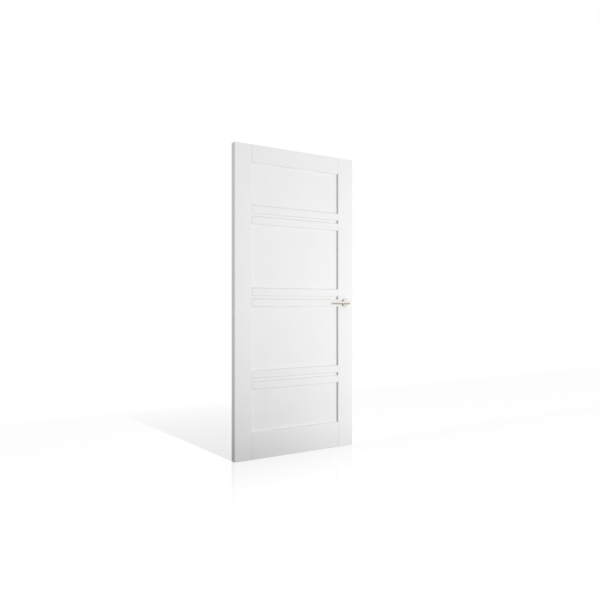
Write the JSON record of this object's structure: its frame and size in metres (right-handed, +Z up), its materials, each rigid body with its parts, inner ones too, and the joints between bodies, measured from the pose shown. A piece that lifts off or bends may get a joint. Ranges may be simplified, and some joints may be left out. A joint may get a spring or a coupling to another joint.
{
  "type": "interior door",
  "caption": "White stile-and-rail interior door leaf with recessed flat panels, slim paired rails, a lever handle on round roses and a mortise latch worked by the lever.",
  "frame": {"origin": "middle of the leaf's bottom edge, at mid thickness", "axes": "+X across the leaf from the hinge edge to the lock edge, +Z up the leaf, -Y out of the front face that the picture shows"},
  "size_m": [0.9417, 0.147, 2.015],
  "materials": {
    "white_paint": "satin white lacquer on wood",
    "tenon_beech": "bare beech",
    "satin_nickel": "satin, warm",
    "cast_zinc": "as cast, matt",
    "moulded_nylon": "moulded",
    "spring_steel": "dark spring steel",
    "zinc_steel": "bright zinc plated",
    "brushed_forend": "brushed along its length",
    "nickel_latch": "nickel plated"
  },
  "bodies": {
    "leaf": {"hinge_stile": "white_paint", "lock_stile": "white_paint", "top_rail": "white_paint", "bottom_rail": "white_paint", "upper_pair_high_rail": "white_paint", "upper_pair_low_rail": "white_paint", "middle_pair_high_rail": "white_paint", "middle_pair_low_rail": "white_paint", "lower_pair_high_rail": "white_paint", "lower_pair_low_rail": "white_paint", "top_panel": "white_paint", "upper_panel": "white_paint", "lower_panel": "white_paint", "bottom_panel": "white_paint", "upper_strip": "white_paint", "middle_strip": "white_paint", "lower_strip": "white_paint", "rail_tenons": "tenon_beech", "front_rose_cover": "satin_nickel", "front_rose_base": "moulded_nylon", "back_rose_cover": "satin_nickel", "back_rose_base": "moulded_nylon", "latch_spring": "spring_steel", "return_spring": "spring_steel", "rose_bolts": "zinc_steel", "forend_screws": "zinc_steel", "lock_case": "zinc_steel", "lock_cover": "zinc_steel", "forend": "brushed_forend"},
    "lever_set": {"front_lever": "satin_nickel", "back_lever": "satin_nickel", "grub_screws": "spring_steel", "spindle": "zinc_steel", "follower": "cast_zinc"},
    "latch": {"latch_bolt": "nickel_latch"}
  },
  "joints": [
    {"name": "lever_turn", "type": "hinge", "parent": "leaf", "child": "lever_set", "pos_m": [0.4, 0, 1.003], "axis": [0, -1, 0], "range_deg": [0, 36], "stiffness_Nm_per_rad": 1.6, "springref_deg": -42.97, "deforming": ["return_spring"]},
    {"name": "latch_slide", "type": "slide", "parent": "leaf", "child": "latch", "axis": [-1, 0, 0], "range_m": [0, 0.012], "deforming": ["latch_spring"]}
  ],
  "couplings": [
    {"joint": "latch_slide", "follows": "lever_turn", "m_per_rad": 0.019098}
  ]
}
